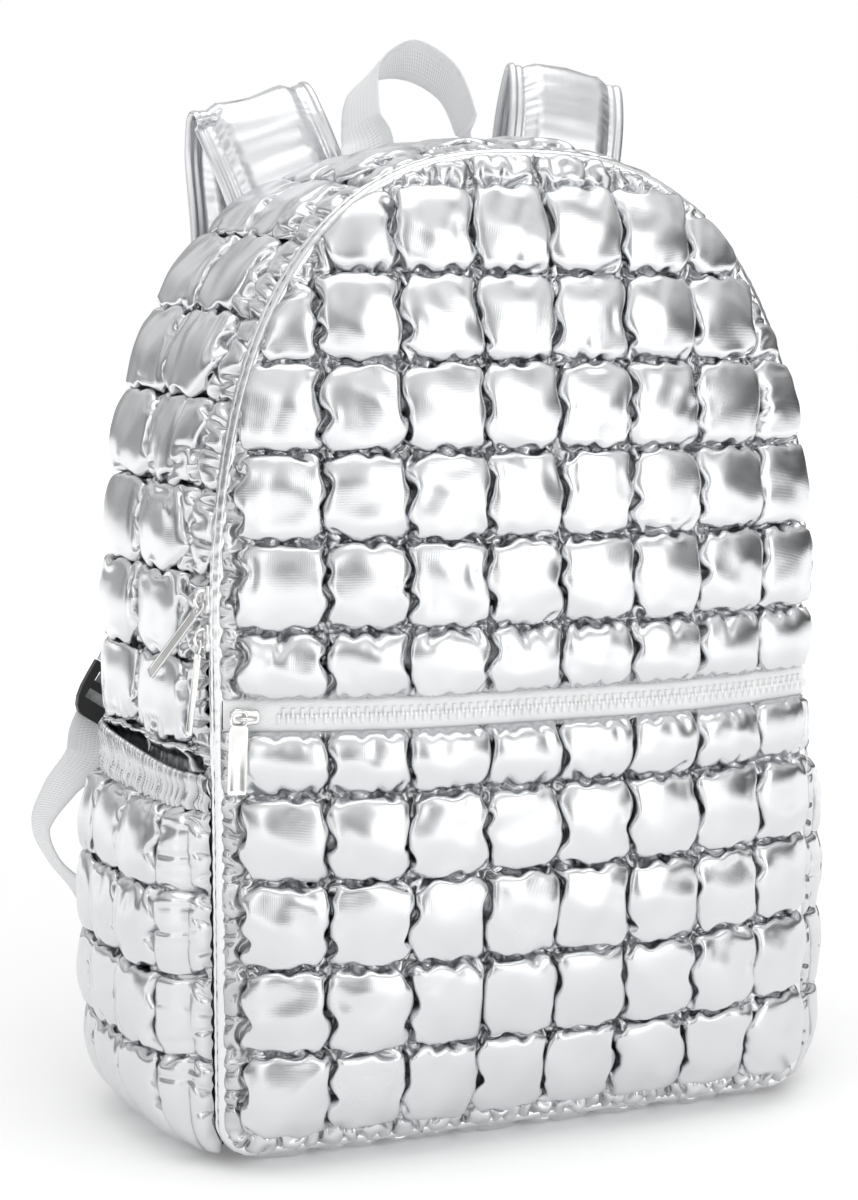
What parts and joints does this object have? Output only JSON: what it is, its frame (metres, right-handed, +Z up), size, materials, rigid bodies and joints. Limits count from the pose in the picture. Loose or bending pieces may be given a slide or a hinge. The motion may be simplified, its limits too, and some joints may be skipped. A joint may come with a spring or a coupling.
{
  "type": "quilted puffer backpack",
  "caption": "Zipped-up metallic backpack with a square-quilted puffy shell, piped arched front, front zip pocket, gathered side pockets, top handle and padded straps.",
  "frame": {"origin": "middle of the footprint of the whole bag, on the floor it stands on", "axes": "+Z up, -Y out of the front, +X to the viewer's right when looking at the front"},
  "size_m": [0.366, 0.2004, 0.4924],
  "materials": {
    "silver_fabric": "metallic foil-coated nylon, quilted, bright and crinkled",
    "piping_fabric": "metallic foil-coated nylon over a cord",
    "strap_fabric": "metallic foil-coated nylon over padding, edges bound and stitched",
    "zip_tape": "woven polyester tape, pale grey",
    "zip_teeth": "moulded teeth, pale grey",
    "dark_teeth": "moulded teeth, dark silver grey",
    "nickel": "bright nickel plate",
    "webbing": "satin polyester webbing, light grey",
    "black_plastic": "black acetal"
  },
  "bodies": {
    "root": {"front_panel": "silver_fabric", "front_pocket_panel": "silver_fabric", "front_piping": "piping_fabric", "front_zip_tape": "zip_tape", "front_zip_teeth": "zip_teeth", "front_zip_slider": "nickel", "front_zip_pull": "nickel", "main_zip_tape": "zip_tape", "main_zip_teeth_lower": "dark_teeth", "main_zip_teeth": "dark_teeth", "main_zip_lower_slider": "nickel", "main_zip_lower_pull": "nickel", "main_zip_upper_slider": "nickel", "main_zip_upper_pull": "nickel", "gusset_left": "silver_fabric", "gusset_top": "silver_fabric", "gusset_right": "silver_fabric", "base_panel": "silver_fabric", "back_panel": "silver_fabric", "handle": "webbing", "side_pocket_left": "silver_fabric", "pocket_band_left": "silver_fabric", "shoulder_strap_left": "strap_fabric", "ladder_lock_left": "black_plastic", "lower_webbing_left": "webbing", "side_pocket_right": "silver_fabric", "pocket_band_right": "silver_fabric", "shoulder_strap_right": "strap_fabric", "ladder_lock_right": "black_plastic", "lower_webbing_right": "webbing"}
  },
  "joints": []
}
